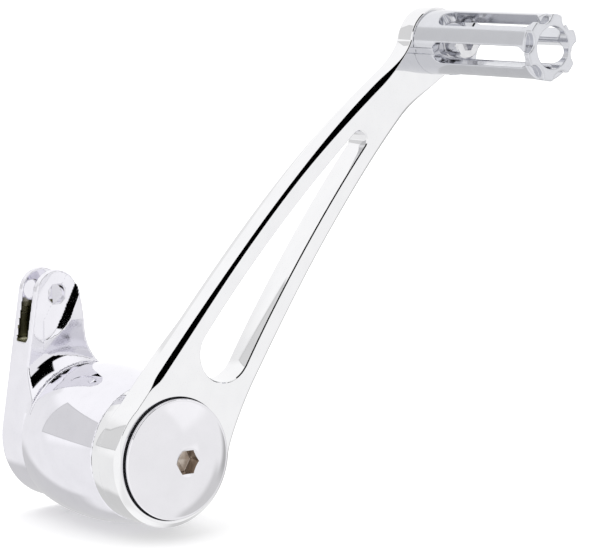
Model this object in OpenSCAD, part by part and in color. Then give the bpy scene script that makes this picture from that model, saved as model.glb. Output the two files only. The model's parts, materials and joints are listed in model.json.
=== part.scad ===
// Rear brake pedal of a motorcycle, seen from the bike's right side.
// Origin: on the pivot axis at mid-length of the hub. +X forward, +Z up, outboard is -Y.
// Most pieces are drawn in the side view (x forward, y up) and built up outboard along z.

/* [Pivot] */
// Diameter of the bike's pivot shaft
shaft_d = 19.05; // [16:0.01:20]
// Running clearance on the shaft's radius
shaft_clearance = 0.035; // [0.02:0.005:0.08]
// Length of the hub along the pivot axis
hub_length = 68; // [60:1:76]
// Radius of the hub's ends and of the arm's boss
boss_radius = 28.85; // [28.5:0.05:30]
// How far the hub's crowned barrel swells beyond its front end
crown = 4.1; // [2:0.1:5]

/* [Arm] */
// Distance from the pivot axis to the peg axis
arm_length = 218; // [200:1:240]
// Angle of the arm above the horizontal
arm_angle = 49.6; // [35:0.1:60]
// Thickness of the arm's plate
arm_thickness = 12.7; // [11:0.1:14]
// Thickness of the arm's pivot boss
boss_thickness = 18; // [17:0.5:20]
// Width of the chamfer round the arm's front face
edge_chamfer = 1.5; // [0.8:0.1:2]
// Width of the chamfer round the window
window_chamfer = 0.7; // [0.4:0.1:1]

/* [Cap] */
// Wall of the arm's boss round the counterbore that the cap sits in
boss_wall = 3.45; // [3.2:0.05:4]
// How far the dome stands out of the arm's front face
dome_height = 10; // [6:0.5:12]
// Width of the hex socket across its flats
socket_flats = 9.6; // [8:0.1:10]

/* [Clevis] */
// Forward place of the clevis hole
eye_x = -9.8; // [-14:0.1:-6]
// Height of the clevis hole above the pivot axis
eye_z = 61; // [58:0.5:66]
// Radius of the round end of each ear
eye_radius = 10.2; // [9.5:0.1:11]
// Radius of the clevis hole
pin_hole_radius = 4.1; // [4:0.05:4.5]
// Thickness of each ear
ear_thickness = 3.3; // [3:0.1:3.5]
// Width of the gap between the ears
fork_gap = 8.1; // [7:0.1:9]

/* [Peg] */
// Outside radius of the peg
peg_radius = 14; // [13.5:0.1:14.5]
// Radius of the peg's bore
peg_bore_radius = 8.9; // [8.6:0.1:9.2]
// Length of the peg from the arm's front face
peg_length = 72; // [66:1:90]
// Width of each slot in the peg
peg_slot_width = 9; // [7:0.1:9.5]
// Number of slots round the peg
peg_slots = 5; // [5]
// Number of lobes round the peg's open end
peg_lobes = 6; // [6]

/* [Hidden] */
$fn = 96;
eps = 0.5;

// Heights along the pivot axis, counted outboard from the origin
seam_h = hub_length / 2;
back_h = -hub_length / 2;
front_h = seam_h + boss_thickness;
plate_back_h = front_h - arm_thickness;
boss_floor_t = 9;
floor_h = seam_h + boss_floor_t;
fork_back_h = back_h;
fork_front_h = back_h + 2 * ear_thickness + fork_gap;
pocket_depth = 2.4;
shoulder_h = fork_front_h + pocket_depth;
groove_w = 1.2;
barrel_end_h = shoulder_h + groove_w;

// Cap's seat and skirt
cap_bore_radius = boss_radius - boss_wall;
cap_skirt_step = 0.8;
cap_skirt_t = 1.7;
cap_skirt_r = cap_bore_radius - cap_skirt_step;
cap_skirt_in_r = cap_skirt_r - cap_skirt_t;

// Screws that join the arm to the hub, inside the cap's skirt
joint_screws_n = 4;
joint_shank_r = 3;
joint_head_r = 4.9;
head_gap = 0.5;
joint_circle_r = cap_skirt_in_r - head_gap - joint_head_r;
joint_head_t = 5.5;
joint_depth = 14;
dowel_r = 2.5;
dowel_half = 7;
dowel_end_gap = 0.5;
hole_gap = 0.25;
tip_gap = 1;

// Bushes and seal
bush_bore_r = shaft_d / 2 + shaft_clearance;
bush_t = 1.54;
bush_r = bush_bore_r + bush_t;
bush_l = 20;
bush_flange_r = bush_r + 2.1;
bush_flange_t = 1.6;
seal_r = bush_r + 3.9;
seal_t = 5;
seal_lip_gap = 0.25;
seal_recess = 0.5;
relief_r = bush_r - 0.7;
shaft_room_r = bush_r + 1.4;

// Cap
cap_seat_depth = 4;
cap_mouth_h = front_h - cap_seat_depth;
cap_inside_h = floor_h + joint_head_t + 0.5;
cap_rim_gap = 0.3;
cap_rim_r = cap_bore_radius - cap_rim_gap;
cap_rim_h = front_h + 1.9;
cap_rim_foot_h = front_h - 0.5;
cap_top_h = front_h + dome_height;
cap_rim_round = 1;
dome_foot_r = cap_rim_r - cap_rim_round;
dome_foot_h = cap_rim_h + 0.9 * cap_rim_round;
dome_rise = cap_top_h - dome_foot_h;
dome_sphere_r = (pow(dome_foot_r, 2) + pow(dome_rise, 2)) / (2 * dome_rise);
socket_r = socket_flats / 2 / cos(30);
socket_depth = 7;
seal_ring_h = front_h - 1.3;
seal_ring_section_r = 0.75;
seal_groove_r = cap_bore_radius - 2 * seal_ring_section_r;

// Peg
peg_x = arm_length * cos(arm_angle);
peg_z = arm_length * sin(arm_angle);
peg_floor_t = 10;
peg_floor_h = front_h + peg_floor_t;
peg_end_h = front_h + peg_length;
slot_start_h = peg_floor_h + 1.2;
end_ring_t = 3;
slot_end_h = peg_end_h - end_ring_t;
slot_turn = 53;
lobe_turn = 50;
slit_turn = 194;
lobe_r = 5;
lobe_depth = 3.2;
lobe_t = 3;
peg_screw_r = 4;
peg_head_r = 6.5;
peg_head_t = 8;
peg_washer_t = 1.8;
peg_pin_r = 1.5;
peg_pin_place = 9.5;
peg_pin_half = 4.8;
peg_pin_gap = 0.2;
slit_width = 2.6;
slit_depth = 1;
peg_thread_depth = 9.5;
end_boss_r = 15;
end_boss_back_h = plate_back_h - 0.5;
end_boss_bevel = 2.5;

// How far the pivot boss's wall behind the plate stands in from the plate's rim
boss_step = 0.2;

// How far the plate's back draws in from its front, at the end of the pivot boss
plate_draft = 0.9;

// Small helpers

// Side view: x forward, y up, z outboard
module side_view() { rotate([90, 0, 0]) children(); }
module at_h(h) { translate([0, 0, h]) children(); }
module at_arm() { rotate(arm_angle) children(); }
module at_peg() { translate([peg_x, peg_z, 0]) children(); }
// A round bar between two heights
module bar(r, h0, h1) { at_h(min(h0, h1)) cylinder(r = r, h = abs(h1 - h0)); }
// A ring of children round the axis
module round_axis(n, start = 0) { for (i = [0 : n - 1]) rotate(start + i * 360 / n) children(); }

// Points and outward normals of a cubic curve whose outside lies to its right
function curve_at(p, t) = pow(1 - t, 3) * p[0] + 3 * pow(1 - t, 2) * t * p[1]
    + 3 * (1 - t) * t * t * p[2] + pow(t, 3) * p[3];
function curve_dir(p, t) = pow(1 - t, 2) * (p[1] - p[0]) + 2 * (1 - t) * t * (p[2] - p[1])
    + t * t * (p[3] - p[2]);
function right_of(d) = [d[1], -d[0]] / norm(d);
function curve(p, n, last = 1) = [for (i = [0 : n - 1 + last]) [curve_at(p, i / n), right_of(curve_dir(p, i / n))]];
function arc(c, r, a0, a1, n) = [for (i = [0 : n]) let (a = a0 + (a1 - a0) * i / n)
    [c + r * [cos(a), sin(a)], [cos(a), sin(a)]]];
function points(path) = [for (q = path) q[0]];

// How much of the plate's draft a point of the path takes: none at the pivot boss, most at the peg
function draft_share(p) = min(1, max(0, (p[0] - boss_radius) / 20)) + 2.1 * pow(max(0, p[0] / arm_length), 6);

// An end face of n points as a ladder of rungs that start at one point and run across to its far side
function ladder(n, start) = [for (k = [0 : n / 2 - 1])
    let (a = (start + k) % n, b = (start + k + 1) % n, c = (start - k - 1 + n) % n, d = (start - k + n) % n)
    k == 0 ? [a, b, c] : b == c ? [a, b, d] : [a, b, c, d]];
function turned_over(face) = [for (i = [len(face) - 1 : -1 : 0]) face[i]];

// A closed body through rings at given heights, each ring the path moved outward by its offset.
// Each level is [height, offset, draft]. The path has an even number of points.
module ringed_body(path, levels, start) {
    n = len(path);
    rings = [for (l = levels) for (q = path)
        let (p = q[0] + (l[1] - l[2] * draft_share(q[0])) * q[1]) [p[0], p[1], l[0]]];
    sides = [for (k = [0 : len(levels) - 2]) for (i = [0 : n - 1])
        let (j = (i + 1) % n, a = k * n, b = (k + 1) * n)
        each [[a + i, b + j, b + i], [a + i, a + j, b + j]]];
    last = (len(levels) - 1) * n;
    front = [for (face = ladder(n, start)) turned_over(face)];
    back = [for (face = ladder(n, start)) [for (i = face) last + i]];
    polyhedron(points = rings, faces = concat(sides, front, back), convexity = 6);
}

// A place part of the way between two places along the arm
function between(a, b, share) = a + (b - a) * share;

// Outline of the arm's plate, along the arm from the pivot: round the pivot boss, and into the end boss.
// The neck follows the boss, the waist follows the peg, and the long edges stretch between them.
rim_gap = 0.05;
boss_rim_r = boss_radius + rim_gap;
rim_start = 80;
rim_end = 306;
rim_n = 73;
neck_s = boss_radius + 19.15;
waist_s = arm_length - 38;
rear_waist_s = arm_length - 28;
neck_low = 14.2;
waist_low = 6.1;
waist_high = 12.9;
rear_swell = 27.8;
rim_low = boss_rim_r * [cos(rim_end), sin(rim_end)];
rim_high = boss_rim_r * [cos(rim_start), sin(rim_start)];
arm_outline = concat(
    arc([0, 0], boss_rim_r, rim_start + 4, rim_end - 3, rim_n),
    curve([rim_low, rim_low + [4, 3], [neck_s - 12, -neck_low - 2], [neck_s, -neck_low]], 8, 0),
    curve([[neck_s, -neck_low], [between(neck_s, waist_s, 0.23), -neck_low + 4.6],
           [between(neck_s, waist_s, 0.55), -waist_low + 3.5], [waist_s, -waist_low]], 18, 0),
    curve([[waist_s, -waist_low], [waist_s + 10, -waist_low - 0.7],
           [waist_s + 20, -waist_low - 3.5], [waist_s + 32, -waist_low - 6.9]], 8),
    curve([[rear_waist_s + 24.5, waist_high + 0.3], [rear_waist_s + 16, waist_high - 2.3],
           [rear_waist_s + 9, waist_high - 2.2], [rear_waist_s, waist_high]], 8, 0),
    curve([[rear_waist_s, waist_high], [between(rim_high[0], rear_waist_s, 0.665), rear_swell],
           [between(rim_high[0], rear_waist_s, 0.351), rear_swell - 0.2], rim_high], 26));

// Outline of the window through the arm: a wide round end at the pivot, a narrow one at the peg
window_low_s = neck_s + 0.4;
window_low_r = 12.5;
window_high_s = arm_length - 59.2;
window_high_r = 4;
window_mid = 7;
window_edge_n = 16;
window_high_n = 10;
window_low_n = 26;
window_outline = concat(
    curve([[window_low_s + 2.1, window_mid - window_low_r + 0.1], [between(window_low_s, window_high_s, 0.277), -0.6],
           [between(window_low_s, window_high_s, 0.653), 3.2], [window_high_s - 0.3, window_mid - window_high_r - 0.1]],
          window_edge_n, 0),
    arc([window_high_s, window_mid - 0.1], window_high_r, -90, 80, window_high_n),
    curve([[window_high_s - 0.7, window_mid + window_high_r + 0.1], [between(window_low_s, window_high_s, 0.644), 17.3],
           [between(window_low_s, window_high_s, 0.291), 20.2], [window_low_s - 0.1, window_mid + window_low_r]],
          window_edge_n, 0),
    arc([window_low_s, window_mid], window_low_r, 91, 278, window_low_n));

// The arm's plate, with a chamfer in front and a small draft behind
module arm_plate() {
    ringed_body(arm_outline, [
        [front_h, -edge_chamfer, 0],
        [front_h - edge_chamfer, 0, 0],
        [front_h - 0.7 * arm_thickness, 0, 0],
        [plate_back_h, 0, plate_draft]], (rim_n + 1) / 2);
}

// What is cut out for the window, its chamfers flaring past both faces
module arm_window() {
    flare = window_chamfer + 1;
    ringed_body(window_outline, [
        [front_h + 1, flare, 0],
        [front_h - window_chamfer, 0, 0],
        [plate_back_h + window_chamfer, 0, 0],
        [plate_back_h - 1, flare, 0]], 2 * window_edge_n + window_high_n + 1 + window_low_n / 2);
}

module pedal_arm() {
    color("gainsboro") side_view() difference() {
        union() {
            at_arm() arm_plate();
            bar(boss_radius - boss_step, seam_h, front_h - arm_thickness / 2);
            at_peg() {
                bar(end_boss_r, end_boss_back_h + end_boss_bevel, front_h - 0.5);
                at_h(front_h - 0.5) cylinder(r1 = end_boss_r, r2 = end_boss_r - 0.5, h = 0.5);
                at_h(end_boss_back_h)
                    cylinder(r1 = end_boss_r - end_boss_bevel, r2 = end_boss_r, h = end_boss_bevel);
            }
        }
        at_arm() arm_window();
        bar(cap_bore_radius, cap_mouth_h, front_h + eps);
        bar(cap_skirt_r, floor_h, cap_mouth_h + eps);
        bar(shaft_room_r, seam_h - eps, floor_h + eps);
        round_axis(joint_screws_n, arm_angle) translate([joint_circle_r, 0, 0])
            bar(joint_shank_r + hole_gap, seam_h - eps, floor_h + eps);
        round_axis(2, arm_angle + 45) translate([joint_circle_r, 0, 0])
            bar(dowel_r, seam_h - eps, seam_h + dowel_half);
        at_peg() {
            bar(peg_screw_r, front_h - peg_thread_depth, front_h + eps);
            translate([peg_pin_place, 0, 0]) bar(peg_pin_r, front_h - peg_pin_half, front_h + eps);
        }
    }
}

// Outline of the clevis plate: a round foot about the pivot, a straight rear edge, an upright front edge
foot_r = 29.3;
neck_r = 27;
neck_x = 1.2 + neck_r;
neck_z = sqrt(pow(foot_r + neck_r, 2) - pow(neck_x, 2));
neck_turn = atan2(neck_z, neck_x);
eye_dist = norm([eye_x, eye_z]);
rear_turn = atan2(eye_z, eye_x) + acos((foot_r - eye_radius) / eye_dist);
clevis_outline = concat(
    arc([0, 0], foot_r, rear_turn, 360 + neck_turn, 44),
    arc([neck_x, neck_z], neck_r, 180 + neck_turn, 180, 14),
    arc([eye_x, eye_z], eye_radius, 0, rear_turn, 20));

// Radius of the crowned barrel at a height
crown_h = seam_h - 29;
function barrel_r(h) = boss_radius + crown * (1 - pow((h - crown_h) / (seam_h - crown_h), 2));
barrel_steps = 20;
barrel_profile = concat(
    [[0, back_h + 3], [foot_r - 6, back_h + 3], [foot_r - 6, shoulder_h], [foot_r - 1, shoulder_h], [foot_r - 1, barrel_end_h]],
    [for (i = [0 : barrel_steps]) let (h = barrel_end_h + (seam_h - barrel_end_h) * i / barrel_steps) [barrel_r(h), h]],
    [[0, seam_h]]);

// The flat milled round the eye, with a sloped wall down to the shoulder
module eye_pocket() {
    slope = 1.5;
    depth = shoulder_h - fork_front_h;
    over = 1;
    module spot(x, z, r) {
        translate([x, z, fork_front_h]) cylinder(r1 = r, r2 = r + slope * (depth + over), h = depth + over, $fn = 40);
    }
    hull() {
        spot(eye_x, eye_z, eye_radius - 0.8);
        spot(eye_x - 8, eye_z - 14, 3.5);
        spot(eye_x - 4, eye_z - 16.5, 2.5);
        spot(eye_x - 14, eye_z - 14, 3.5);
        spot(eye_x - 14, eye_z + 2, 3.5);
    }
}

// The gap between the ears, with rounded bottom corners
module fork_slot() {
    h0 = fork_back_h + ear_thickness;
    h1 = h0 + fork_gap;
    corner = 2;
    floor_y = eye_z - 20;
    width = 80;
    translate([eye_x - width / 2, floor_y + corner, h0]) cube([width, 60, fork_gap]);
    translate([eye_x - width / 2, floor_y, h0 + corner]) cube([width, corner + eps, fork_gap - 2 * corner]);
    for (h = [h0 + corner, h1 - corner])
        translate([eye_x - width / 2, floor_y + corner, h]) rotate([0, 90, 0]) cylinder(r = corner, h = width);
}

module pivot_hub() {
    color("lightgray") side_view() difference() {
        union() {
            rotate_extrude() polygon(barrel_profile);
            at_h(back_h) linear_extrude(shoulder_h - back_h) polygon(points(clevis_outline));
        }
        eye_pocket();
        fork_slot();
        translate([eye_x, eye_z, 0]) bar(pin_hole_radius, back_h - eps, shoulder_h + eps);
        bar(relief_r, back_h - eps, seam_h + eps);
        bar(bush_r, seam_h - bush_l, seam_h + eps);
        bar(bush_flange_r, seam_h - bush_flange_t, seam_h + eps);
        bar(bush_r, back_h - eps, back_h + seal_t + bush_l);
        bar(seal_r, back_h - eps, back_h + seal_t);
        round_axis(joint_screws_n, arm_angle) translate([joint_circle_r, 0, 0])
            bar(joint_shank_r, seam_h - joint_depth, seam_h + eps);
        round_axis(2, arm_angle + 45) translate([joint_circle_r, 0, 0])
            bar(dowel_r, seam_h - dowel_half, seam_h + eps);
    }
}

// Profile of the cap: hollow skirt, rim with a rounded edge, and a spherical dome
dome_steps = 24;
rim_steps = 6;
cap_profile = concat(
    [[0, cap_inside_h], [cap_skirt_in_r, cap_inside_h], [cap_skirt_in_r, floor_h], [cap_skirt_r, floor_h],
     [cap_skirt_r, cap_mouth_h], [seal_groove_r, cap_mouth_h], [seal_groove_r, cap_rim_foot_h],
     [cap_rim_r, cap_rim_foot_h]],
    [for (i = [0 : rim_steps]) let (a = 90 * i / rim_steps)
        [dome_foot_r + (cap_rim_r - dome_foot_r) * cos(a), cap_rim_h + (dome_foot_h - cap_rim_h) * sin(a)]],
    [for (i = [1 : dome_steps]) let (r = dome_foot_r * (1 - i / dome_steps))
        [r, cap_top_h - dome_sphere_r + sqrt(pow(dome_sphere_r, 2) - pow(r, 2))]]);

module pivot_cap() {
    color("whitesmoke") side_view() difference() {
        rotate_extrude() polygon(cap_profile);
        at_h(cap_top_h - socket_depth) cylinder(r = socket_r, h = socket_depth + eps, $fn = 6);
        at_h(cap_top_h - 0.75) cylinder(r1 = socket_r - 0.35, r2 = socket_r + 1.2, h = 1.5);
    }
}

module cap_seal_ring() {
    color("dimgray") side_view() at_h(seal_ring_h)
        rotate_extrude() translate([cap_bore_radius - seal_ring_section_r, 0]) circle(r = seal_ring_section_r, $fn = 32);
}

// A socket head screw pointing inboard from a height, its head outboard
module socket_screw(shank_r, head_r, head_t, head_h, tip_h) {
    difference() {
        union() {
            bar(head_r, head_h, head_h + head_t - 0.6);
            at_h(head_h + head_t - 0.6) cylinder(r1 = head_r, r2 = head_r - 0.6, h = 0.6);
            bar(shank_r, tip_h, head_h + eps);
        }
        at_h(head_h + head_t * 0.4) cylinder(r = head_r * 0.52, h = head_t, $fn = 6);
    }
}

module joint_screws() {
    color("darkgray") side_view() round_axis(joint_screws_n, arm_angle) translate([joint_circle_r, 0, 0])
        socket_screw(joint_shank_r, joint_head_r, joint_head_t, floor_h, seam_h - joint_depth + tip_gap);
}

module locating_dowels() {
    color("silver") side_view() round_axis(2, arm_angle + 45) translate([joint_circle_r, 0, 0])
        bar(dowel_r, seam_h - dowel_half + dowel_end_gap, seam_h + dowel_half - dowel_end_gap);
}

module outer_bush() {
    color("darkgoldenrod") side_view() difference() {
        union() {
            bar(bush_r, seam_h - bush_l, seam_h);
            bar(bush_flange_r, seam_h - bush_flange_t, seam_h);
        }
        bar(bush_bore_r, seam_h - bush_l - eps, seam_h + eps);
    }
}

module inner_bush() {
    color("darkgoldenrod") side_view() difference() {
        bar(bush_r, back_h + seal_t, back_h + seal_t + bush_l);
        bar(bush_bore_r, back_h + seal_t - eps, back_h + seal_t + bush_l + eps);
    }
}

module dust_seal() {
    color("black") side_view() difference() {
        bar(seal_r, back_h + seal_recess, back_h + seal_t);
        bar(bush_bore_r + seal_lip_gap, back_h, back_h + seal_t + eps);
        at_h(back_h) cylinder(r1 = seal_r - 1.5, r2 = bush_bore_r + 0.3, h = 3);
    }
}

// One long slot with round ends, cut across the peg's wall from the axis outward
module peg_slot() {
    half = peg_slot_width / 2;
    rotate([0, 90, 0]) {
        for (h = [slot_start_h + half, slot_end_h - half])
            translate([-h, 0, 0]) cylinder(r = half, h = peg_radius + 2);
        translate([-(slot_end_h - half), -half, 0])
            cube([slot_end_h - slot_start_h - peg_slot_width, peg_slot_width, peg_radius + 2]);
    }
}

module foot_peg() {
    color("gainsboro") side_view() at_peg() difference() {
        bar(peg_radius, front_h, peg_end_h);
        bar(peg_bore_radius, peg_floor_h, peg_end_h + eps);
        round_axis(peg_slots, slot_turn) peg_slot();
        round_axis(peg_lobes, lobe_turn)
            translate([peg_radius - lobe_depth + lobe_r, 0, 0]) bar(lobe_r, peg_end_h - lobe_t, peg_end_h + eps);
        rotate(slit_turn) translate([peg_radius - slit_depth, -slit_width / 2, front_h - eps])
            cube([2 * slit_depth, slit_width, slot_start_h - front_h + 2]);
        bar(peg_screw_r + hole_gap, front_h - eps, peg_floor_h + eps);
        translate([peg_pin_place, 0, 0]) bar(peg_pin_r, front_h - eps, front_h + peg_pin_half);
    }
}

module peg_screw() {
    color("darkgray") side_view() at_peg()
        socket_screw(peg_screw_r, peg_head_r, peg_head_t, peg_floor_h + peg_washer_t, front_h - peg_thread_depth + tip_gap);
}

module peg_washer() {
    color("silver") side_view() at_peg() difference() {
        bar(peg_head_r + 0.4, peg_floor_h, peg_floor_h + peg_washer_t);
        bar(peg_screw_r + hole_gap, peg_floor_h - eps, peg_floor_h + peg_washer_t + eps);
    }
}

module peg_pin() {
    color("silver") side_view() at_peg() translate([peg_pin_place, 0, 0])
        bar(peg_pin_r, front_h - peg_pin_half + peg_pin_gap, front_h + peg_pin_half - peg_pin_gap);
}

pedal_arm();
pivot_hub();
pivot_cap();
cap_seal_ring();
joint_screws();
locating_dowels();
outer_bush();
inner_bush();
dust_seal();
foot_peg();
peg_screw();
peg_washer();
peg_pin();
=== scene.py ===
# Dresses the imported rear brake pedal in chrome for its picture.
# Shapes are worked out in millimetres in the pedal's side view (x forward, y up, h outboard from mid-hub)
# and put into the shared frame in metres by toRow.
import json
import bpy
import numpy as np
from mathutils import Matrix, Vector
from mathutils.geometry import delaunay_2d_cdt

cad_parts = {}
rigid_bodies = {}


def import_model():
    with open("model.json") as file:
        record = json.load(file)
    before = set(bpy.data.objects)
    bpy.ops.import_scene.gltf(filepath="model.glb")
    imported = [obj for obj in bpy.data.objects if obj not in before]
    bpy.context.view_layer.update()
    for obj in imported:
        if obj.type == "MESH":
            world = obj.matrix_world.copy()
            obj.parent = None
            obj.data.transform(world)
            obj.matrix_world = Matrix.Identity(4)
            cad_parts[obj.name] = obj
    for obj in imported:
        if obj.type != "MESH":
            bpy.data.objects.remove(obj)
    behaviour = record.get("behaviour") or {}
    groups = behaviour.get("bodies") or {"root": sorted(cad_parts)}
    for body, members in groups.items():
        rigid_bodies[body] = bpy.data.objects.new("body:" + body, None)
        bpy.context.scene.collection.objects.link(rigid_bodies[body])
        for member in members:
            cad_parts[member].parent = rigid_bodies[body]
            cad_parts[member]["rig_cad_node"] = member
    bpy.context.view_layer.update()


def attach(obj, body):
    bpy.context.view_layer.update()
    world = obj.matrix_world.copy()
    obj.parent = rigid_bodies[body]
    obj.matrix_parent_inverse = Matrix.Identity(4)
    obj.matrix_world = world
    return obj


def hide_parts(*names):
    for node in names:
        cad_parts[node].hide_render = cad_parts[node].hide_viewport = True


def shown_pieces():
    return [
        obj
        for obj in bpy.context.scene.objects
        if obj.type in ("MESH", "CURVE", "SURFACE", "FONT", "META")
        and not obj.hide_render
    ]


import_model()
print("frame loaded")

# Sizes that several pieces share, the same as in the solids
pedal = {
    "seam": 34.0, "seamGap": 0.24, "back": -34.0, "front": 52.0, "plateBack": 39.3,
    "bossRadius": 28.85, "armLength": 218.0, "armAngle": 49.6,
}
armTurn = np.radians(pedal["armAngle"])
pegPlace = pedal["armLength"] * np.array([np.cos(armTurn), np.sin(armTurn)])


def toRow(points):
    # side view (x, y, h) in mm to the shared frame in metres: X = x, Y = -h, Z = y
    points = np.asarray(points, float)
    return np.stack([points[..., 0], -points[..., 2], points[..., 1]], -1) / 1000


def hexToLinear(code):
    # sRGB hex such as "c8c8ca" to linear light
    srgb = np.array([int(code[i:i + 2], 16) for i in (0, 2, 4)]) / 255
    return tuple(np.where(srgb <= 0.04045, srgb / 12.92, ((srgb + 0.055) / 1.055) ** 2.4)) + (1.0,)


def addNode(tree, kind, settings=None, links=None):
    # one node with its settings (attributes, or sockets by name or number) and what feeds its sockets
    node = tree.nodes.new(kind)
    for key, value in (settings or {}).items():
        if isinstance(key, str) and hasattr(node, key):
            setattr(node, key, value)
        else:
            node.inputs[key].default_value = value
    for key, source in (links or {}).items():
        tree.links.new(source, node.inputs[key])
    return node


def meshPiece(name, points, faces, material, normals=None, node=None, slotName=None):
    # a smooth-shaded mesh piece that rides on the pedal
    mesh = bpy.data.meshes.new(name)
    mesh.from_pydata(toRow(points).tolist(), [], [list(map(int, f)) for f in faces])
    mesh.polygons.foreach_set("use_smooth", np.ones(len(mesh.polygons), bool))
    mesh.materials.append(material)
    if normals is not None:
        mesh.normals_split_custom_set_from_vertices((toRow(normals) * 1000).tolist())
    piece = bpy.data.objects.new(name, mesh)
    bpy.context.scene.collection.objects.link(piece)
    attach(piece, "root")
    if node:
        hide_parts(node)
    print(name, len(mesh.polygons), "faces")
    return piece


# Curves in the plane, each given as points and outward normals

def curve(control, count):
    # points and outward normals (to the right of travel) of a cubic curve at even steps of its parameter
    control = np.array(control, float)
    t = np.linspace(0, 1, count)[:, None]
    points = ((1 - t) ** 3 * control[0] + 3 * (1 - t) ** 2 * t * control[1]
              + 3 * (1 - t) * t ** 2 * control[2] + t ** 3 * control[3])
    travel = ((1 - t) ** 2 * (control[1] - control[0]) + 2 * (1 - t) * t * (control[2] - control[1])
              + t ** 2 * (control[3] - control[2]))
    normals = np.stack([travel[:, 1], -travel[:, 0]], -1)
    return points, normals / np.linalg.norm(normals, axis=1, keepdims=True)


def arc(centre, radius, start, end, count):
    # points and outward normals of an arc, angles in degrees
    angle = np.radians(np.linspace(start, end, count))
    normals = np.stack([np.cos(angle), np.sin(angle)], -1)
    return np.array(centre) + radius * normals, normals


def joined(parts):
    # one closed path from parts given in order, shared end points taken once, its normals evened out a little
    points = np.concatenate([p for p, n in parts])
    normals = np.concatenate([n for p, n in parts])
    sameSpot = 0.02
    keep = np.linalg.norm(points - np.roll(points, 1, 0), axis=1) > sameSpot
    points, normals = points[keep], normals[keep]
    for i in range(2):
        normals = normals + 0.5 * (np.roll(normals, 1, 0) + np.roll(normals, -1, 0))
        normals /= np.linalg.norm(normals, axis=1, keepdims=True)
    return points, normals


def bend(corners, radii, steps=5):
    # a profile through corners (k, 2, n) whose corners are rounded by parabolas of about the given radii (k, n), each
    # of which takes less than half of the sides beside it
    rows = [corners[0]]
    sideShare = 0.45
    for i in range(1, len(corners) - 1):
        before, after = corners[i - 1] - corners[i], corners[i + 1] - corners[i]
        lengthBefore = np.linalg.norm(before, axis=0) + 1e-9
        lengthAfter = np.linalg.norm(after, axis=0) + 1e-9
        cosTurn = np.clip(-(before * after).sum(0) / lengthBefore / lengthAfter, -1, 1)
        reach = radii[i] * np.tan(np.arccos(cosTurn) / 2)
        a = corners[i] + before * np.minimum(reach / lengthBefore, sideShare)
        b = corners[i] + after * np.minimum(reach / lengthAfter, sideShare)
        for t in np.linspace(0, 1, steps + 1):
            rows.append((1 - t) ** 2 * a + 2 * t * (1 - t) * corners[i] + t ** 2 * b)
    rows.append(corners[-1])
    return np.array(rows)


def gridFaces(rows, columns, closed=True, turned=False):
    # quads of a grid whose rows run round and whose next row is further along the profile
    i, j = np.meshgrid(np.arange(rows - 1), np.arange(columns if closed else columns - 1), indexing="ij")
    k = (j + 1) % columns
    quads = np.stack([(i + 1) * columns + j, (i + 1) * columns + k, i * columns + k, i * columns + j], -1)
    quads = quads.reshape(-1, 4)
    return quads[:, ::-1] if turned else quads


def flatFace(outer, holes, height, turned=False):
    # a flat face between loops in the plane: triangles of a constrained triangulation
    loops = [outer, *holes]
    points = np.concatenate(loops)
    starts = np.cumsum([0] + [len(loop) for loop in loops])
    edges = [(int(a), int(b)) for s, loop in zip(starts, loops)
             for a, b in zip(s + np.arange(len(loop)), s + (np.arange(len(loop)) + 1) % len(loop))]
    outline = [list(range(len(outer)))]
    spots, _, triangles, _, _, _ = delaunay_2d_cdt([Vector(p) for p in points], edges, outline, 1, 1e-6)
    spots = np.array([tuple(p) for p in spots])
    triangles = np.array([tuple(t) for t in triangles])
    middle = spots[triangles].mean(1)
    keep = np.ones(len(triangles), bool)
    for loop in holes:
        keep &= ~insideLoop(middle, loop)
    keep &= insideLoop(middle, outer)
    triangles = triangles[keep]
    a, b, c = (spots[triangles[:, k]] for k in range(3))
    area = (b[:, 0] - a[:, 0]) * (c[:, 1] - a[:, 1]) - (b[:, 1] - a[:, 1]) * (c[:, 0] - a[:, 0])
    wrong = (area < 0) != turned
    triangles[wrong] = triangles[wrong][:, ::-1]
    return np.column_stack([spots, np.full(len(spots), height)]), triangles


def insideLoop(points, loop):
    # even-odd test of many points against one closed loop
    x, y = points[:, :1], points[:, 1:2]
    x0, y0 = loop[:, 0], loop[:, 1]
    x1, y1 = np.roll(x0, -1), np.roll(y0, -1)
    crosses = (y0 > y) != (y1 > y)
    at = x0 + (y - y0) * (x1 - x0) / np.where(y1 == y0, 1e-12, y1 - y0)
    return (crosses & (x < at)).sum(1) % 2 == 1


def gather(parts):
    # points and faces of several grids as one mesh, points that coincide made one
    points, faces, start = [], [], 0
    for p, f in parts:
        points.append(np.reshape(p, (-1, 3)))
        faces += [tuple(np.asarray(face) + start) for face in f]
        start += len(points[-1])
    points = np.concatenate(points)
    cellsPerMm = 500
    key = np.round(points * cellsPerMm).astype(np.int64)
    _, first, place = np.unique(key, axis=0, return_index=True, return_inverse=True)
    place = place.reshape(-1)
    clean = []
    for face in faces:
        ring = [place[i] for i in face]
        ring = [a for a, b in zip(ring, ring[1:] + ring[:1]) if a != b]
        if len(ring) > 2:
            clean.append(ring)
    return points[first], clean


def ease(t):
    # 0 below 0, 1 above 1, and a smooth step between
    t = np.clip(t, 0, 1)
    return t * t * (3 - 2 * t)


def easeAlong(along, place):
    # the same step along the arm, from a start and over a length, both in mm
    start, length = place
    return ease((along - start) / length)


def turnToArm(points):
    # from arm coordinates (along, across) to the side view
    x = points[..., 0] * np.cos(armTurn) - points[..., 1] * np.sin(armTurn)
    y = points[..., 0] * np.sin(armTurn) + points[..., 1] * np.cos(armTurn)
    return np.stack([x, y, *[points[..., k] for k in range(2, points.shape[-1])]], -1)


# Surfaces of rounded solids, each given as a distance field

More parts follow.
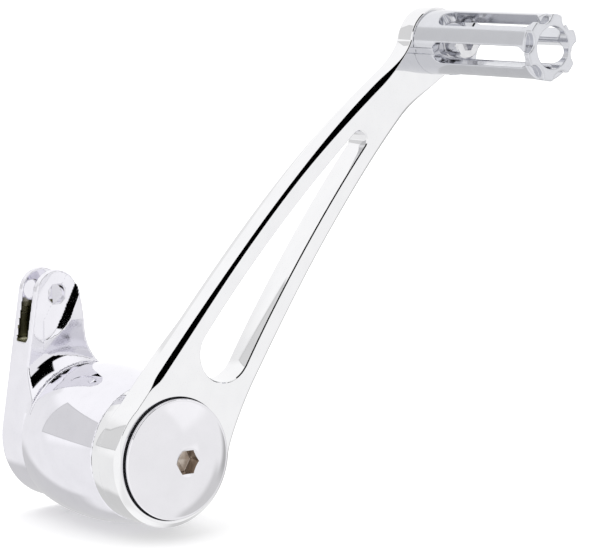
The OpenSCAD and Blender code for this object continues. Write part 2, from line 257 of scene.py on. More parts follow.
def fieldSurface(field, low, high, step):
    # the surface where field(x, y, h) is 0: one vertex in each grid cell that the surface passes, pulled onto it
    # along the field's slope, and one quad across each grid line that it cuts. Normals are the slope itself.
    axes = [np.arange(a - 1.5 * step, b + 2.5 * step, step) for a, b in zip(low, high)]
    shape = [len(a) for a in axes]
    values = field(*np.meshgrid(*axes, indexing="ij", sparse=True))
    values = np.broadcast_to(values, shape)
    inside = values < 0
    cells = [n - 1 for n in shape]
    total = np.zeros(cells + [3])
    count = np.zeros(cells)
    crossings = []
    for axis in range(3):
        a = [slice(None)] * 3
        b = [slice(None)] * 3
        a[axis], b[axis] = slice(0, -1), slice(1, None)
        cut = np.argwhere(inside[tuple(a)] != inside[tuple(b)])
        end = cut.copy()
        end[:, axis] += 1
        v0, v1 = values[tuple(cut.T)], values[tuple(end.T)]
        spot = cut.astype(float)
        spot[:, axis] += v0 / (v0 - v1)
        others = [k for k in range(3) if k != axis]
        ring = []
        for d0, d1 in ((-1, -1), (0, -1), (0, 0), (-1, 0)):
            cell = cut.copy()
            cell[:, others[0]] += d0
            cell[:, others[1]] += d1
            ring.append(cell)
            np.add.at(total, tuple(cell.T), spot)
            np.add.at(count, tuple(cell.T), 1)
        crossings.append((axis, ring, v0 < 0))
    used = np.argwhere(count > 0)
    number = np.full(cells, -1)
    number[tuple(used.T)] = np.arange(len(used))
    origin = np.array([a[0] for a in axes])
    points = origin + step * total[tuple(used.T)] / count[tuple(used.T)][:, None]

    def slope(p, d=0.02):
        g = np.stack([field(*(p + d * e).T) - field(*(p - d * e).T) for e in np.eye(3)], -1) / (2 * d)
        return g, np.linalg.norm(g, axis=1, keepdims=True) + 1e-9

    rounds, longestMove = 5, 0.4 * step
    for i in range(rounds):
        g, size = slope(points)
        move = field(*points.T)[:, None] * g / size ** 2
        length = np.linalg.norm(move, axis=1, keepdims=True) + 1e-9
        points = points - move * np.minimum(1, longestMove / length)
    g, size = slope(points)
    quads = []
    for axis, ring, outward in crossings:
        face = np.stack([number[tuple(cell.T)] for cell in ring], -1)
        turned = outward if axis != 1 else ~outward
        face[~turned] = face[~turned][:, ::-1]
        quads.append(face)
    return points, np.concatenate(quads), g / size


def both(a, b, r):
    # what two solids share, their meeting edge rounded to radius r
    return np.minimum(-r, np.maximum(a, b)) + np.hypot(np.maximum(a + r, 0), np.maximum(b + r, 0))


def either(a, b, r):
    # two solids together, the corner between them filled to radius r
    return np.maximum(r, np.minimum(a, b)) - np.hypot(np.maximum(r - a, 0), np.maximum(r - b, 0))


def without(a, b, r):
    # the first solid with the second cut out, the edge rounded to radius r
    return both(a, -b, r)


# Finishes

def newFinish(name, metallic):
    # a material, its node tree, its shader and the piece's own coordinates
    material = bpy.data.materials.new(name)
    material.use_nodes = True
    tree = material.node_tree
    shader = tree.nodes["Principled BSDF"]
    shader.inputs["Metallic"].default_value = metallic
    return material, tree, shader, addNode(tree, "ShaderNodeTexCoord").outputs["Object"]


def vary(tree, shader, factor, first, second, roughness, span=(0.0, 1.0)):
    # the shader's colour and roughness, each going from one value to another as the factor grows
    colour = addNode(tree, "ShaderNodeMix", {"data_type": "RGBA", 6: hexToLinear(first), 7: hexToLinear(second)},
                     {0: factor})
    tree.links.new(colour.outputs[2], shader.inputs["Base Color"])
    gloss = addNode(tree, "ShaderNodeMapRange", {"From Min": span[0], "From Max": span[1], "To Min": roughness[0],
                                                 "To Max": roughness[1]}, {"Value": factor})
    tree.links.new(gloss.outputs["Result"], shader.inputs["Roughness"])


def raiseBy(tree, shader, height, distance):
    # relief of a real height in mm, seen in the shading only
    relief = addNode(tree, "ShaderNodeBump", {"Strength": 1.0, "Distance": distance / 1000}, {"Height": height})
    tree.links.new(relief.outputs["Normal"], shader.inputs["Normal"])


def chrome(name, tint, shade, roughness, grain, wave):
    # decorative chrome plate on a polished casting: a mirror with a cool, nearly neutral tint. Its polish leaves a
    # faint long wave, and the plate varies a little in gloss.
    material, tree, shader, place = newFinish(name, 1.0)
    film = addNode(tree, "ShaderNodeTexNoise", {"Scale": 1000 / grain, "Detail": 3.0}, {"Vector": place})
    vary(tree, shader, film.outputs["Fac"], tint, shade, roughness, (0.35, 0.65))
    polish = addNode(tree, "ShaderNodeTexNoise", {"Scale": 1000 / wave["spacing"], "Detail": 1.0}, {"Vector": place})
    raiseBy(tree, shader, polish.outputs["Fac"], wave["height"])
    return material


def plainFinish(name, light, dark, metallic, roughness, spacing):
    # a finish that varies between two colours over patches of a real size in mm
    material, tree, shader, place = newFinish(name, metallic)
    patch = addNode(tree, "ShaderNodeTexNoise", {"Scale": 1000 / spacing, "Detail": 4.0}, {"Vector": place})
    vary(tree, shader, patch.outputs["Fac"], light, dark, roughness)
    return material


def paintedGapShade(name, light, dark, roughness, stride):
    # painted shade and painted reflections of the fork gap over its thin flash of plate on milled steel: dark and a
    # little green, with soft bands across the ears. The wave texture turns by 20 per unit, so with this scale its
    # bands lie 2 pi strides apart (a stride of 0.9 mm: 5.7 mm).
    material, tree, shader, place = newFinish(name, 1.0)
    bands = addNode(tree, "ShaderNodeTexWave", {"bands_direction": "X", "Scale": 1000 / stride / 20,
                                                "Distortion": 1.0, "Detail": 2.0, "Detail Scale": 2.0},
                    {"Vector": place})
    vary(tree, shader, bands.outputs["Fac"], dark, light, roughness)
    raiseBy(tree, shader, bands.outputs["Fac"], 0.04)
    return material


wave = {"spacing": 14.0, "height": 0.004}
armChrome = chrome("polished_chrome_plate", "f2f2f3", "eaeaec", (0.03, 0.06), 9.0, wave)
hubChrome = chrome("cast_chrome_plate", "f2f1f7", "e8e7ed", (0.03, 0.07), 7.0, {"spacing": 11.0, "height": 0.006})
capChrome = chrome("turned_chrome_plate", "f2f1f5", "eae9ed", (0.04, 0.07), 9.0, wave)
pegChrome = chrome("peg_chrome_plate", "dcdde2", "d3d4d9", (0.1, 0.15), 6.0, wave)
screwChrome = chrome("screw_chrome_plate", "e8e8ea", "d4d4d7", (0.05, 0.1), 3.0, wave)
boltSteel = plainFinish("plain_steel", "a39c94", "837a71", 1.0, (0.25, 0.4), 2.0)
socketSteel = plainFinish("broached_steel", "d8cec4", "a4968a", 1.0, (0.22, 0.38), 1.6)
# dark banded colour: painted shade and painted reflections inside the fork gap, over a thin plate
gapShadeOverPlate = paintedGapShade("thin_plate_with_painted_gap_shade", "b4b29a", "56543f", (0.2, 0.34), 0.9)
blackRubber = plainFinish("black_rubber", "36373b", "2a2b2f", 0.0, (0.5, 0.7), 1.5)
sinteredBronze = plainFinish("sintered_bronze", "b08d4f", "8c6c38", 1.0, (0.3, 0.5), 1.0)
print("finishes ready")


# The arm: a windowed plate with a round boss at each end

arm = {
    "rimRadius": 28.88, "rimStart": 80, "rimEnd": 306, "endRadius": 15.0,
    # control points of the outline's curves, along and across the arm: out along the front edge, then back
    "frontRoot": [[21, -20.4], [36, -16.2], [48, -14.2]],
    "frontRun": [[48, -14.2], [78.4, -9.6], [120.6, -2.6], [180, -6.1]],
    "frontEnd": [[180, -6.1], [190, -6.8], [200, -9.6], [211.7, -13.6]],
    "endArc": (-114.8, 126.3),
    "rearEnd": [[209.1, 12.1], [205, 10.6], [199, 10.7], [190, 12.9]],
    "rearRun": [[190, 12.9], [128, 27.8], [70, 27.6]],
    # the window's curves, and its arcs as centre, radius, start and end
    "windowFront": [[50.5, -5.4], [79, -0.6], [120.5, 3.2], [158.5, 2.9]],
    "windowTip": ((158.8, 6.9), 4, -90, 80),
    "windowRear": [[158.1, 11.1], [119.5, 17.3], [80.5, 20.2], [48.3, 19.5]],
    "windowFoot": ((48.4, 7), 12.5, 91, 270),
    # the front edge's chamfer, and where along the arm it widens, narrows and loses its swell (start, length)
    "chamfer": 1.45, "wideChamfer": 2.2, "endChamfer": 0.5, "swell": 0.6,
    "widens": (120, 55), "narrows": (184, 20), "swellFades": (30, 60),
    # the thinner chamfer on top of the pivot boss: its width, middle, half length and fading length
    "bossChamfer": 0.3, "thinMiddle": 3, "thinHalf": 11, "thinFade": 8,
    "crease": 8.9, "draft": 0.9, "draftLength": 20, "endDraft": 2.1, "endDraftPower": 6, "backBevel": 0.5,
    "windowChamfer": 0.5, "windowRound": 0.14, "softEdge": 0.3, "lip": 0.3,
    # a row of points this close before a sharp corner keeps the shading even up to it
    "guard": 0.15, "bossGuard": 0.1,
    # what is turned about the pivot axis: counterbore, skirt's bore, floor, room for the shaft, boss
    "boreRadius": 25.4, "boreBevel": 0.35, "boreDepth": 4, "skirtRadius": 24.6, "floor": 9, "shaftRoom": 12.5,
    "seamBevel": 0.2, "bossInset": 1, "bossRise": 0.2, "round": 240,
}


def armOutline():
    # the arm's plate, round the pivot boss, out along the front edge, round the end boss and back
    r, end = arm["rimRadius"], pedal["armLength"]
    a0, a1 = np.radians([arm["rimStart"], arm["rimEnd"]])
    return joined([
        arc((0, 0), r, arm["rimStart"], arm["rimEnd"], 150),
        curve([[r * np.cos(a1), r * np.sin(a1)], *arm["frontRoot"]], 24),
        curve(arm["frontRun"], 70),
        curve(arm["frontEnd"], 24),
        arc((end, 0), arm["endRadius"], *arm["endArc"], 90),
        curve(arm["rearEnd"], 20),
        curve([*arm["rearRun"], [r * np.cos(a0), r * np.sin(a0)]], 90),
    ])


def windowOutline():
    # the window: wide and round at the pivot, narrow at the peg
    return joined([
        curve(arm["windowFront"], 60),
        arc(*arm["windowTip"], 30),
        curve(arm["windowRear"], 60),
        arc(*arm["windowFoot"], 60),
    ])


def armPiece():
    points, normals = armOutline()
    n = len(points)
    along = points[:, 0]
    share = np.clip((along - pedal["bossRadius"]) / arm["draftLength"], 0, 1)
    towardsEnd = np.clip(along / pedal["armLength"], 0, None) ** arm["endDraftPower"]
    draft = arm["draft"] * (share + arm["endDraft"] * towardsEnd)
    # the edge's chamfer widens towards the peg, and thins out at both ends of the plate's rear edge
    chamfer = arm["chamfer"] + (arm["wideChamfer"] - arm["chamfer"]) * easeAlong(along, arm["widens"])
    chamfer += ((arm["endChamfer"] - chamfer) * easeAlong(along, arm["narrows"])
                + arm["swell"] * (1 - easeAlong(along, arm["swellFades"])))
    thin = 1 - easeAlong(np.abs(along - arm["thinMiddle"]), (arm["thinHalf"], arm["thinFade"]))
    chamfer += (arm["bossChamfer"] - chamfer) * thin * (points[:, 1] > 0)
    depth = pedal["front"] - pedal["plateBack"]
    bevel = arm["backBevel"] * share
    zero = np.zeros(n)
    corners = np.array([
        [-chamfer - arm["lip"], zero], [-chamfer, zero], [zero, -chamfer], [zero, zero - arm["crease"]],
        [-draft, zero - depth + bevel + arm["guard"]], [-draft, zero - depth + bevel], [-draft - bevel, zero - depth],
        [-draft - bevel - arm["lip"], zero - depth]])
    soft = arm["softEdge"] * np.ones(n)
    profile = bend(corners, [soft, soft * 1.2, soft * 1.6, soft * 2, zero, soft * share, soft * share, soft])
    rings = [np.column_stack([turnToArm(points + o[:, None] * normals), pedal["front"] + d]) for o, d in profile]
    parts = [(np.array(rings), gridFaces(len(rings), n))]

    hole, out = windowOutline()
    w, one = arm["windowChamfer"], np.ones(len(hole))
    corners = np.array([[(w + arm["lip"]) * one, 0 * one], [w * one, 0 * one], [0 * one, -w * one],
                        [0 * one, (w - depth) * one], [w * one, -depth * one],
                        [(w + arm["lip"]) * one, -depth * one]])
    profile = bend(corners, [arm["windowRound"] * one] * 6)
    windows = [np.column_stack([turnToArm(hole + o[:, None] * out), pedal["front"] + d]) for o, d in profile]
    parts.append((np.array(windows), gridFaces(len(windows), len(hole), turned=True)))

    # the counterbore and the boss behind the plate are turned about the pivot axis
    front, bore = pedal["front"], arm["boreRadius"]
    seam = pedal["seam"] + pedal["seamGap"] / 2
    r, bevelB = arm["rimRadius"], arm["boreBevel"]
    turned = np.array([
        [bore + bevelB + arm["lip"], front], [bore + bevelB, front], [bore, front - bevelB],
        [bore, front - arm["boreDepth"]], [arm["skirtRadius"], front - arm["boreDepth"]],
        [arm["skirtRadius"], seam + arm["floor"]], [arm["shaftRoom"], seam + arm["floor"]], [arm["shaftRoom"], seam],
        [r - arm["seamBevel"], seam], [r, seam + arm["seamBevel"]],
        [r, pedal["plateBack"] - arm["bossGuard"]], [r, pedal["plateBack"]],
        [r - arm["bossInset"], pedal["plateBack"] + arm["bossRise"]]])[:, :, None]
    turned = bend(turned, [np.array([q]) for q in (0, 0.15, 0.15, 0, 0, 0, 0, 0, 0.1, 0.1, 0, 0, 0)], 3)[:, :, 0]
    angle = np.linspace(0, 2 * np.pi, arm["round"], endpoint=False)
    ring = np.stack([turned[:, :1] * np.cos(angle), turned[:, :1] * np.sin(angle),
                     np.repeat(turned[:, 1:], len(angle), 1)], -1)
    parts.append((ring, gridFaces(len(turned), len(angle), turned=True)))

    parts.append(flatFace(rings[0][:, :2], [windows[0][:, :2], ring[0][:, :2]], pedal["front"]))
    parts.append(flatFace(rings[-1][:, :2], [windows[-1][:, :2]], pedal["plateBack"], turned=True))
    meshPiece("pedal_arm_plated", *gather(parts), armChrome, node="pedal_arm", slotName="arm_chrome")


armPiece()


# The hub with its clevis

hub = {
    # barrel, the groove behind it and the core that closes both
    "crown": 4.1, "crownHeight": 5.0, "shoulder": -16.9, "groove": 1.2, "grooveRadius": 28.1,
    "coreRadius": 27.5, "coreStep": 0.6, "coreOverlap": 2, "seamEdge": 0.2, "backEdge": 0.5,
    # plate with the fork: its outline and thicknesses
    "forkFront": -19.3, "earThickness": 3.3, "eye": (-9.8, 61.0), "eyeRadius": 10.2, "footRadius": 29.3,
    "frontEdge": 1.2, "frontLean": 0.8, "neckFillet": 24.0, "holeRadius": 4.1, "gapFloor": 41.0, "gapCorner": 2.0,
    "gapEdge": 0.35, "edge": 0.7,
    # the face leans by faceTilt once the sum of its parts across and up passes faceStart
    "faceTilt": 0.33, "faceStart": 0.3, "leanAcross": 0.8, "leanFrom": 18, "leanUp": 0.5, "leanTop": 50,
    # above flareStart the face flares out to the barrel: it rises, and falls off outwards, less and less steeply
    "flareStart": 12, "flareFoot": 31.0, "flareRise": 8.0, "flareFall": 1.43, "flareBend": 0.058, "flareReach": 12,
    "flareMargin": 3, "flareLimit": 1, "flareFillet": 1.0, "topSlope": 0.75,
    # the milled flat round the eye: the direction of its long side, how far it reaches, and its sloped wall
    "pocketSide": (0.887, -0.462), "pocketReach": 6.2, "pocketFoot": 19.8, "pocketCorner": 6.0, "pocketSlope": 0.97,
    "wallSlope": 0.71, "pocketLow": 30, "pocketEdge": 0.06,
    # the thin groove at the flare's foot, and the pivot's bore with the seal's seat
    "thinGroove": 0.45, "grooveEdge": 0.1, "boreRadius": 11.1, "boreHalf": 60, "boreEdge": 0.2,
    "sealRadius": 15, "sealDepth": 5, "sealEdge": 0.3,
    # where the gap's painted shade shows: margin, how far below the eye it ends and how that end slants, how squarely
    # a face looks along the axis or up, and the floor's depth
    "gapShadeMargin": 0.2, "gapShadeBelow": 5, "gapShadeSlant": 0.15, "facesAlong": 0.7, "facesUp": 0.3, "gapShadeFloor": 3,
    "low": (-33.5, -33.5, -34), "high": (33.5, 71.5, 34), "step": 0.6,
}


def slopedBar(x, y, a, b, ra, rb):
    # distance to the hull of two discs: a bar whose radius changes evenly from one end to the other
    a, b = np.array(a, float), np.array(b, float)
    length = np.linalg.norm(b - a)
    u = (b - a) / length
    along = (x - a[0]) * u[0] + (y - a[1]) * u[1]
    across = np.abs((y - a[1]) * u[0] - (x - a[0]) * u[1])
    s = (ra - rb) / length
    c = np.sqrt(1 - s * s)
    k = c * along - s * across
    d = along * s + across * c - ra
    d = np.where(k < 0, np.hypot(along, across) - ra, d)
    return np.where(k > c * length, np.hypot(along - length, across) - rb, d)


def hubField(x, y, h):
    # barrel: crowned by a parabola; plate behind it: round foot, straight rear edge and upright front edge up to the
    # eye, its face leaning a little and flaring out to the barrel like a cone that steepens inwards; a fork gap, a
    # milled flat round the eye, the clevis hole and the pivot's own bore are cut out
    r = np.hypot(x, y)
    deep = -9
    swell = 1 - ((h - hub["crownHeight"]) / (pedal["seam"] - hub["crownHeight"])) ** 2
    barrel = r - pedal["bossRadius"] - hub["crown"] * swell
    barrelBack = hub["shoulder"] + hub["groove"]
    solid = both(both(barrel, h - pedal["seam"] + pedal["seamGap"] / 2, hub["seamEdge"]), barrelBack - h,
                 hub["backEdge"])
    core = np.maximum(r - hub["grooveRadius"],
                      np.maximum(h - pedal["seam"], hub["shoulder"] - hub["coreOverlap"] - h))
    core = np.maximum(core, r - hub["coreRadius"] - hub["coreStep"] * (h < 0))
    ex, ey = hub["eye"]
    foot = r - hub["footRadius"]
    neck = slopedBar(x, y, (0, 0), hub["eye"], hub["footRadius"], hub["eyeRadius"])
    fillet = hub["neckFillet"]
    cx = hub["frontEdge"] + fillet
    cy = np.sqrt((hub["footRadius"] + fillet) ** 2 - cx ** 2)
    neck = np.maximum(neck, x - hub["frontEdge"] + hub["frontLean"] * np.clip((y - cy) / (ey - cy), 0, 1))
    outline = np.minimum(neck, foot)
    beside = (y < cy) & ((cx - x) * cy > (cy - y) * cx) & (x > 0)
    outline = np.where(beside, np.maximum(fillet - np.hypot(x - cx, y - cy), deep), outline)
    leanUp = hub["leanUp"] * np.clip(hub["leanTop"] - y, None, 0)
    lean = np.clip(hub["leanAcross"] * (x + hub["leanFrom"]) + leanUp, 0, None)
    face = hub["forkFront"] + np.maximum(hub["faceTilt"] * lean - hub["faceStart"], 0)
    out = np.maximum(r - hub["flareFoot"], 0)
    flare = (hub["forkFront"] + hub["flareRise"] - hub["flareFall"] * out
             + hub["flareBend"] * np.minimum(out, hub["flareReach"]) ** 2)
    top = hub["topSlope"] * (h - np.where(y > hub["flareStart"], np.maximum(face, flare), hub["shoulder"]))
    plate = both(both(outline, top, hub["edge"]), pedal["back"] - h, hub["edge"])
    plate = np.maximum(plate, np.where(r < hub["flareFoot"] + hub["flareMargin"],
                                       h - hub["forkFront"] - hub["flareRise"] - hub["flareLimit"], deep))
    sideX, sideY = hub["pocketSide"]
    flatAt = both(sideX * (x - ex) + sideY * (y - ey) - hub["pocketReach"], ey - y - hub["pocketFoot"],
                  hub["pocketCorner"])
    wall = hub["forkFront"] + np.maximum(flatAt, 0) / hub["pocketSlope"] - h
    plate = without(plate, np.maximum(wall * hub["wallSlope"], hub["pocketLow"] - y), hub["pocketEdge"])
    gapBack = pedal["back"] + hub["earThickness"]
    corner = hub["gapCorner"]
    gap = both(np.abs(h - (gapBack + hub["forkFront"] - hub["earThickness"]) / 2)
               - (hub["forkFront"] - hub["earThickness"] - gapBack) / 2, hub["gapFloor"] - y, corner)
    plate = without(plate, gap, hub["gapEdge"])
    plate = without(plate, np.hypot(x - ex, y - ey) - hub["holeRadius"], hub["gapEdge"])
    groove = np.hypot(barrel, top) - hub["thinGroove"]
    solid = np.minimum(solid, core)
    solid = np.where(y > hub["flareStart"], either(solid, plate, hub["flareFillet"]), np.minimum(solid, plate))
    solid = without(solid, np.maximum(groove, hub["flareStart"] - y), hub["grooveEdge"])
    bore = np.maximum(r - hub["boreRadius"], np.abs(h) - hub["boreHalf"])
    seat = np.maximum(r - hub["sealRadius"], h - pedal["back"] - hub["sealDepth"])
    return without(without(solid, bore, hub["boreEdge"]), seat, hub["sealEdge"])


def hubPiece():
    points, quads, normals = fieldSurface(hubField, hub["low"], hub["high"], hub["step"])
    piece = meshPiece("pivot_hub_plated", points, quads, hubChrome, normals, "pivot_hub", "hub_chrome")
    # faces inside the fork gap get a dark colour: painted shade and painted reflections of the gap, over its thin
    # plate
    middle, facing = points[quads].mean(1), normals[quads].mean(1)
    low, high = pedal["back"] + hub["earThickness"], hub["forkFront"] - hub["earThickness"]
    margin = hub["gapShadeMargin"]
    between = (middle[:, 2] > low - margin) & (middle[:, 2] < high + margin)
    between &= middle[:, 1] > hub["gapFloor"] - margin
    between &= middle[:, 1] < hub["eye"][1] - hub["gapShadeBelow"] + hub["gapShadeSlant"] * middle[:, 0]
    across = np.abs(facing[:, 2]) > hub["facesAlong"]
    floor = (facing[:, 1] > hub["facesUp"]) & (middle[:, 1] < hub["gapFloor"] + hub["gapShadeFloor"])
    piece.data.materials.append(gapShadeOverPlate)
    piece.data.polygons.foreach_set("material_index", (between & (across | floor)).astype(np.int32))


hubPiece()


# The domed cap

cap = {
    "rimRadius": 25.1, "rimHeight": 53.9, "top": 62.0, "footRadius": 24.1, "footHeight": 54.8,
    # side and hidden seat under the rim, as radius and height
    "side": [[25.1, 53.6], [25.1, 51.5], [23.9, 51.5], [23.9, 48], [24.6, 48], [24.6, 43], [22.9, 43], [22.9, 49],
             [0.01, 49]],
    "socketFlats": 9.6, "socketDepth": 7.0, "mouth": 6.1, "coneSlope": 0.55, "coneGap": 0.02,
    # rows close to the socket's corners, as steps aside and up or down, and the drill point below its floor
    "mouthRow": (0.12, 0.03), "coneRow": (0.12, 0.06), "wallRow": 0.3, "floorRow": 0.2,
    "drill": (0.95, 0.02), "drillPoint": (0.002, 1.2),
    "domeSteps": 40, "edgeFrom": 8, "edgeSteps": 10, "round": 240,
}


def capPiece():
    rise = cap["top"] - cap["footHeight"]
    sphere = (cap["footRadius"] ** 2 + rise ** 2) / (2 * rise)
    angle = np.linspace(0, 2 * np.pi, cap["round"], endpoint=False)

    def domeAt(r):
        return cap["top"] - sphere + np.sqrt(sphere ** 2 - r ** 2)

    # dome out to the rim, round its edge, down its side and in to the hidden seat
    r = np.linspace(cap["mouth"], cap["footRadius"], cap["domeSteps"])
    dome = np.stack([r, domeAt(r)], -1)
    a = np.radians(np.linspace(cap["edgeFrom"], 90, cap["edgeSteps"]))
    edge = np.stack([cap["footRadius"] + (cap["rimRadius"] - cap["footRadius"]) * np.sin(a),
                     cap["rimHeight"] + (cap["footHeight"] - cap["rimHeight"]) * np.cos(a)], -1)
    profile = np.concatenate([dome, edge, cap["side"]])
    ring = np.stack([profile[:, :1] * np.cos(angle), profile[:, :1] * np.sin(angle),
                     np.repeat(profile[:, 1:], len(angle), 1)], -1)
    meshPiece("pivot_cap_plated", *gather([(ring, gridFaces(len(profile), len(angle)))]), capChrome,
              node="pivot_cap", slotName="cap_chrome")

    # the hex socket: a plated lead-in cone, then six bare flats and a drilled floor
    flat = cap["socketFlats"] / 2 / np.cos((angle % np.radians(60)) - np.radians(30))
    mouth = np.full_like(angle, cap["mouth"])
    coneFoot = domeAt(mouth) - (mouth - flat) * cap["coneSlope"] - cap["coneGap"]
    floor = cap["top"] - cap["socketDepth"] + 0 * flat
    (mouthIn, mouthDown), (coneOut, coneUp) = cap["mouthRow"], cap["coneRow"]
    (drill, drillDown), (point, pointDown) = cap["drill"], cap["drillPoint"]
    cone = [(mouth, domeAt(mouth)), (mouth - mouthIn, domeAt(mouth) - mouthDown), (flat + coneOut, coneFoot + coneUp),
            (flat, coneFoot)]
    bare = [(flat, coneFoot), (flat, coneFoot - cap["wallRow"]), (flat, floor + cap["floorRow"]), (flat, floor),
            (flat * drill, floor - drillDown), (flat * point, floor - pointDown)]
    for name, rows, finish in (("pivot_cap_mouth", cone, capChrome), ("pivot_cap_socket", bare, socketSteel)):
        wall = np.array([np.stack([q * np.cos(angle), q * np.sin(angle), z], -1) for q, z in rows])
        meshPiece(name, *gather([(wall, gridFaces(len(rows), len(angle), turned=True))]), finish,
                  slotName="cap_chrome")


capPiece()


# The foot peg

peg = {
    "radius": 14.0, "bore": 8.9, "length": 72.0, "floor": 10.0, "slotStart": 11.2, "slotEnd": 69.0,
    "slotWidth": 9.0, "slots": 5, "turn": 53.0, "lobes": 6, "lobeTurn": 50.0, "lobe": 5.0, "lobeDepth": 3.2,
    "lobeLength": 3.0, "lobeRound": 0.9, "slitTurn": 194.0, "slitWidth": 2.6, "slitDepth": 1.0,
    "edge": 0.45, "rootEdge": 0.1, "slitEdge": 0.15, "slotInner": 3, "slitOver": 2,
    "low": (-14.2, -14.2, 0), "high": (14.2, 14.2, 72), "step": 0.45,
}


def pegField(u, v, w):
    # a tube with its root closed; long round-ended slots all round it, and scallops between the lobes of its open end
    # (u, v from the peg's axis, w from the arm's front face)
    r = np.hypot(u, v)
    angle = np.degrees(np.arctan2(v, u))
    solid = both(both(r - peg["radius"], w - peg["length"], peg["lobeRound"]), -w, peg["rootEdge"])
    solid = without(solid, np.maximum(r - peg["bore"], peg["floor"] - w), peg["edge"])
    spacing = 360 / peg["slots"]
    off = np.radians((angle - peg["turn"] + spacing / 2) % spacing - spacing / 2)
    side, out = r * np.sin(off), r * np.cos(off)
    half = peg["slotWidth"] / 2
    middle = (peg["slotStart"] + peg["slotEnd"]) / 2
    reach = (peg["slotEnd"] - peg["slotStart"]) / 2 - half
    slot = np.hypot(side, np.maximum(np.abs(w - middle) - reach, 0)) - half
    solid = without(solid, np.maximum(slot, peg["slotInner"] - out), peg["edge"])
    spacing = 360 / peg["lobes"]
    off = np.radians((angle - peg["lobeTurn"] + spacing / 2) % spacing - spacing / 2)
    centre = peg["radius"] - peg["lobeDepth"] + peg["lobe"]
    scallop = np.hypot(r * np.cos(off) - centre, r * np.sin(off)) - peg["lobe"]
    solid = without(solid, np.maximum(scallop, peg["length"] - peg["lobeLength"] - w), peg["lobeRound"])
    turn = np.radians(peg["slitTurn"])
    across = -u * np.sin(turn) + v * np.cos(turn)
    outward = u * np.cos(turn) + v * np.sin(turn)
    slit = np.maximum(np.abs(across) - peg["slitWidth"] / 2, peg["radius"] - peg["slitDepth"] - outward)
    return without(solid, np.maximum(slit, w - peg["slotStart"] - peg["slitOver"]), peg["slitEdge"])


def pegPiece():
    points, quads, normals = fieldSurface(pegField, peg["low"], peg["high"], peg["step"])
    points = points + [*pegPlace, pedal["front"]]
    meshPiece("foot_peg_plated", points, quads, pegChrome, normals, "foot_peg", "peg_metal")


pegPiece()


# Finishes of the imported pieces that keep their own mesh

def finishNodes():
    finishes = {"cap_seal_ring": blackRubber, "joint_screws": boltSteel, "locating_dowels": boltSteel,
                "outer_bush": sinteredBronze, "inner_bush": sinteredBronze, "dust_seal": blackRubber,
                "peg_screw": screwChrome, "peg_washer": screwChrome, "peg_pin": boltSteel}
    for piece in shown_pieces():
        for node, material in finishes.items():
            if piece.get("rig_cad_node") == node or piece.name == node:
                piece.data.materials.clear()
                piece.data.materials.append(material)
                print("finished", node)


finishNodes()


# Studio: floor, light tent and camera

studio = {
    # the paper is lit a little from behind, which keeps the shadow under the hub light
    "floor": -33.6, "floorRadius": 40000, "paper": "fbfbfb", "paperGlow": 0.16,
    "camera": (-600.57, -891.75, 212.20), "azimuth": 38.41, "elevation": 7.65, "focal": 2572.3,
    "pictureWidth": 600, "sensor": 36.0, "clip": (0.05, 200),
    "strength": 1.08, "sun": 0.9, "sunWidth": 90,
    # cards in the tent, each over the ones before: bearing from straight in front (towards +X), height, turn, half
    # width, half height and soft edge in degrees, and brightness
    "cards": [
        (38, -8, 0, 72, 58, 14, 0.87), (60, 34, 0, 22, 9, 10, 0.97), (98, -38, 0, 12, 14, 12, 0.62),
        (-150, -32, 0, 36, 26, 8, 0.88), (168, -32, 0, 20, 15, 8, 0.62), (-166, 12, 0, 17, 12, 8, 0.86),
        (178, 18, 0, 9, 12, 4, 0.84), (-128.3, 20, 0, 20.4, 14.9, 0.8, 0.5), (-128.3, 20, 0, 20, 14.4, 0.8, 0.7),
        (112, 0, 0, 14, 16, 10, 0.45), (38, -8, 0, 8, 8, 5, 0.95), (-33.5, 49, 31, 9, 26, 1.5, 0.0),
        (24, 57, 0, 20, 5, 2, 0.0),
    ],
}


def floorPiece():
    mesh = bpy.data.meshes.new("studio_floor")
    r, z = studio["floorRadius"] / 1000, studio["floor"] / 1000
    mesh.from_pydata([(-r, -r, z), (r, -r, z), (r, r, z), (-r, r, z)], [], [(0, 1, 2, 3)])
    floor = bpy.data.objects.new("studio_floor", mesh)
    bpy.context.scene.collection.objects.link(floor)
    material = bpy.data.materials.new("white_paper")
    material.use_nodes = True
    shader = material.node_tree.nodes["Principled BSDF"]
    shader.inputs["Base Color"].default_value = hexToLinear(studio["paper"])
    shader.inputs["Roughness"].default_value = 0.9
    shader.inputs["Specular IOR Level"].default_value = 0.0
    shader.inputs["Emission Color"].default_value = hexToLinear(studio["paper"])
    shader.inputs["Emission Strength"].default_value = studio["paperGlow"]
    mesh.materials.append(material)
    floor.visible_glossy = False


floorPiece()


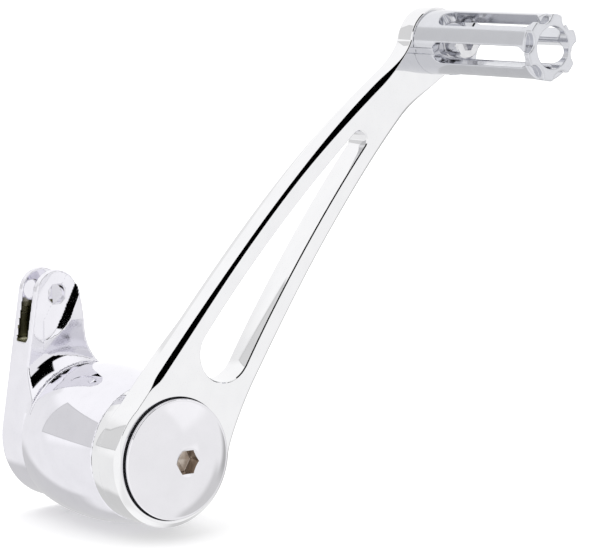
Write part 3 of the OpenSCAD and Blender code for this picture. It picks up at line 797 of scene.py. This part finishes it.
def studioSky():
    # a white tent with dark and light cards: each card fades out over its soft edge, and counts only in front of it
    world = bpy.data.worlds.new("white_tent")
    bpy.context.scene.world = world
    world.use_nodes = True
    tree = world.node_tree
    background = tree.nodes["Background"]
    look = addNode(tree, "ShaderNodeTexCoord").outputs["Generated"]
    value = addNode(tree, "ShaderNodeValue").outputs[0]
    value.default_value = 1.0
    for bearing, height, turn, halfWidth, halfHeight, soft, brightness in studio["cards"]:
        b, e, t = np.radians([bearing, height, turn])
        toward = np.array([np.sin(b) * np.cos(e), -np.cos(b) * np.cos(e), np.sin(e)])
        level = np.array([np.cos(b), np.sin(b), 0])
        up = np.array([-np.sin(b) * np.sin(e), np.cos(b) * np.sin(e), np.cos(e)])
        aside, along = level * np.cos(t) - up * np.sin(t), level * np.sin(t) + up * np.cos(t)
        cover = None
        for axis, half in ((aside, halfWidth), (along, halfHeight), (toward, 0)):
            dot = addNode(tree, "ShaderNodeVectorMath", {"operation": "DOT_PRODUCT", 1: tuple(axis)}, {0: look})
            size = addNode(tree, "ShaderNodeMath", {"operation": "ABSOLUTE"}, {0: dot.outputs["Value"]})
            low, high = np.sin(np.radians([half + soft, half]))
            ends = {"From Min": low, "From Max": high} if half else {"From Min": 0.0, "From Max": 0.1}
            fade = addNode(tree, "ShaderNodeMapRange", {"interpolation_type": "SMOOTHSTEP", **ends},
                           {"Value": size.outputs[0] if half else dot.outputs["Value"]}).outputs["Result"]
            if cover is None:
                cover = fade
            else:
                cover = addNode(tree, "ShaderNodeMath", {"operation": "MULTIPLY"}, {0: cover, 1: fade}).outputs[0]
        value = addNode(tree, "ShaderNodeMix", {"data_type": "FLOAT", 3: brightness}, {0: cover, 2: value}).outputs[0]
    tree.links.new(value, background.inputs["Color"])
    background.inputs["Strength"].default_value = studio["strength"]


studioSky()


def floorLight():
    # a wide, soft lamp overhead that lifts the paper to white and isn't mirrored in the chrome
    data = bpy.data.lights.new("floor_light", "SUN")
    data.energy, data.angle = studio["sun"], np.radians(studio["sunWidth"])
    lamp = bpy.data.objects.new("floor_light", data)
    bpy.context.scene.collection.objects.link(lamp)
    lamp.visible_glossy = False


floorLight()


def cameraPiece():
    data = bpy.data.cameras.new("camera")
    camera = bpy.data.objects.new("camera", data)
    bpy.context.scene.collection.objects.link(camera)
    bpy.context.scene.camera = camera
    data.sensor_fit = "HORIZONTAL"
    data.sensor_width = studio["sensor"]
    data.lens = studio["sensor"] * studio["focal"] / studio["pictureWidth"]
    data.clip_start, data.clip_end = studio["clip"]
    a, e = np.radians([studio["azimuth"], studio["elevation"]])
    look = Vector((np.sin(a) * np.cos(e), np.cos(a) * np.cos(e), -np.sin(e)))
    camera.location = Vector(studio["camera"]) / 1000
    camera.rotation_mode = "QUATERNION"
    camera.rotation_quaternion = look.to_track_quat("-Z", "Y")


cameraPiece()
bpy.context.scene.view_settings.view_transform = "Standard"
print("studio ready")
